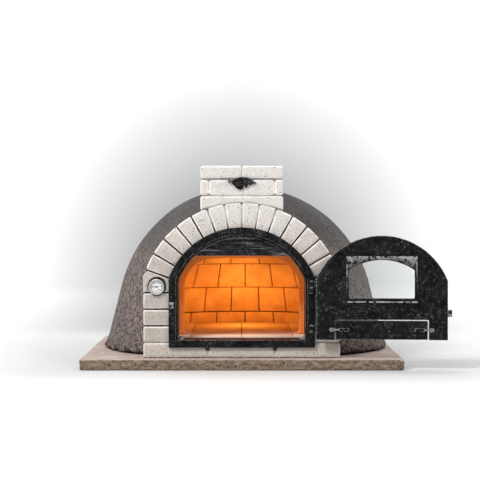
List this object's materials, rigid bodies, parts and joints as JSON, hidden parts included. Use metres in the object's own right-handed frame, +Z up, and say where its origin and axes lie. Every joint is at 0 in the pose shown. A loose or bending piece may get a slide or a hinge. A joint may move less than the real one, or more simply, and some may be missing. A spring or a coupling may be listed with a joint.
{
  "type": "wood fired pizza oven",
  "caption": "Domed brick oven on a square slab, with an arched brick facade, short chimney with damper, thermometer and a hinged cast iron door with window and air flap.",
  "frame": {"origin": "centre of the slab underside", "axes": "+X to the right seen from the mouth, +Y to the back, +Z up along the flue"},
  "size_m": [1.2605, 1.1187, 0.693],
  "materials": {
    "slab_concrete": "cast concrete, sandy, rough",
    "hearth_insulation": "insulating board, matte",
    "firebrick": "refractory brick, matte, slightly sooted",
    "blanket": "ceramic fibre blanket",
    "render": "brushed cement render, rough",
    "facade_brick": "pale refractory brick, lightly pitted",
    "mortar": "cement mortar, rough",
    "cast_iron": "black heat-proof paint, cast texture, satin",
    "steel": "plain steel, dull",
    "dial_white": "white enamel, satin",
    "needle_black": "black paint, satin",
    "glass": "clear heat-proof glass",
    "gasket_rope": "glass fibre rope, dark grey"
  },
  "bodies": {
    "oven": {"arch_voussoirs_left": "facade_brick", "arch_voussoirs_right": "facade_brick", "base_slab": "slab_concrete", "chimney_base": "mortar", "chimney_slips_lower": "facade_brick", "chimney_slips_upper": "facade_brick", "damper_guide": "steel", "dome_course_1": "firebrick", "dome_course_2": "firebrick", "dome_course_3": "firebrick", "dome_course_4": "firebrick", "dome_course_5": "firebrick", "dome_course_6": "firebrick", "dome_insulation": "blanket", "dome_keystone": "firebrick", "dome_render": "render", "door_frame": "cast_iron", "doorway_arch": "firebrick", "facade_mortar": "mortar", "flue_core_lower": "mortar", "flue_core_upper": "mortar", "frame_anchors": "steel", "frame_gussets": "cast_iron", "hearth_bed": "hearth_insulation", "hearth_tiles": "firebrick", "hinge_pins": "steel", "jamb_bricks_left": "facade_brick", "jamb_bricks_right": "facade_brick", "latch_keeper": "cast_iron", "sill_bricks": "facade_brick", "smoke_baffle": "cast_iron", "spandrel_block": "facade_brick", "springer_left": "facade_brick", "springer_right": "facade_brick", "thermometer_bezel": "steel", "thermometer_case": "steel", "thermometer_dial": "dial_white", "thermometer_glass": "glass", "thermometer_stem": "steel", "vault_bricks": "firebrick", "vault_crown": "firebrick"},
    "door": {"door_panel": "cast_iron", "door_glass": "glass", "glass_gasket": "gasket_rope", "glass_retainer": "cast_iron", "retainer_screws": "steel", "glass_clip": "steel", "flap_saddles": "cast_iron", "latch_bolt": "steel"},
    "air_flap": {"air_flap": "cast_iron", "flap_pins": "steel", "flap_handle": "cast_iron", "flap_handle_screws": "steel"},
    "latch": {"latch_lever": "cast_iron", "latch_grip": "cast_iron"},
    "flue_damper": {"damper_plate": "steel", "damper_handle": "cast_iron", "damper_rivets": "steel"},
    "needle": {"thermometer_needle": "needle_black"}
  },
  "joints": [
    {"name": "door_hinge", "type": "hinge", "parent": "oven", "child": "door", "pos_m": [0.2375, -0.51, 0.187], "axis": [0, 0, 1], "range_deg": [-176, 0]},
    {"name": "air_flap_pivot", "type": "hinge", "parent": "door", "child": "air_flap", "pos_m": [0.47268, -0.55151, 0.137], "axis": [-0.9976, 0.0698, 0], "range_deg": [0, 60]},
    {"name": "latch_pivot", "type": "hinge", "parent": "door", "child": "latch", "pos_m": [0.66596, -0.54698, 0.193], "axis": [-0.0698, -0.9976, 0], "range_deg": [0, 25]},
    {"name": "damper_slide", "type": "slide", "parent": "oven", "child": "flue_damper", "axis": [0, -1, 0], "range_m": [0, 0.14]},
    {"name": "needle_turn", "type": "hinge", "parent": "oven", "child": "needle", "pos_m": [-0.291, -0.492, 0.28], "axis": [0, 1, 0], "range_deg": [-45, 225]}
  ]
}
